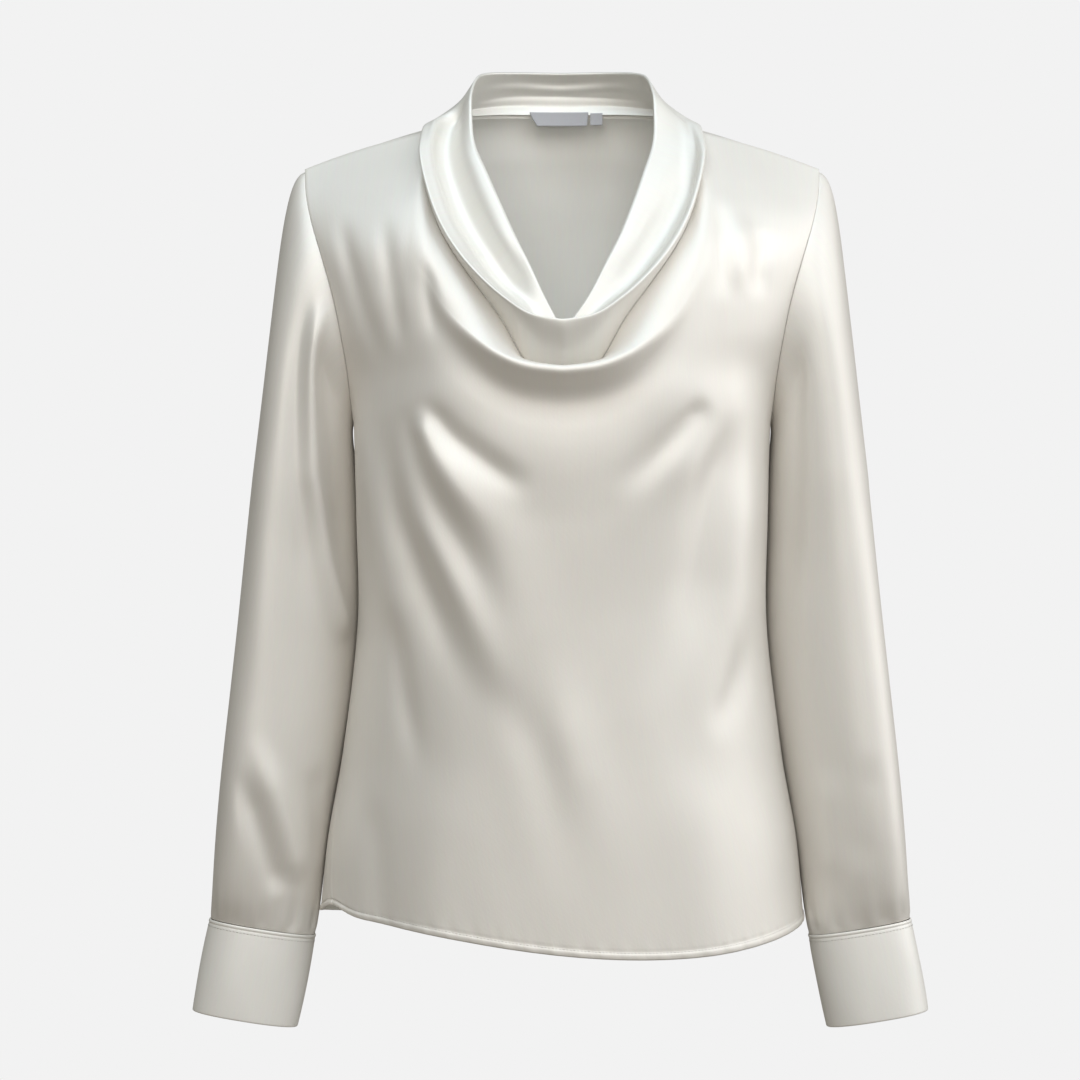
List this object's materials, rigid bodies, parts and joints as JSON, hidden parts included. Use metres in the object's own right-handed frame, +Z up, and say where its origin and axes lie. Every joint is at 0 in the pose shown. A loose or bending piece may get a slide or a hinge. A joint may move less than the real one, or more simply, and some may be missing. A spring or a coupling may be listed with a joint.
{
  "type": "blouse",
  "caption": "Long-sleeved ivory satin blouse with a draped cowl neck, a soft roll collar, plain deep cuffs and a gently curved hem, filled out as worn.",
  "frame": {"origin": "middle of the neck base, where the wearer's neck and shoulders hold the blouse: on the centre plane, level with the inner ends of the shoulder seams, midway between front and back", "axes": "+Z up the body, +Y towards the back, +X towards the viewer's right when the front is seen"},
  "size_m": [0.5632, 0.24, 0.74],
  "materials": {
    "satin": "ivory satin, glossy face and matt reverse",
    "label_cloth": "pale grey woven label, blank"
  },
  "bodies": {
    "root": {"front": "satin", "back": "satin", "collar": "satin", "sleeve_left": "satin", "sleeve_right": "satin", "cuff_left": "satin", "cuff_right": "satin", "neck_label": "label_cloth", "size_tab": "label_cloth"}
  },
  "joints": []
}
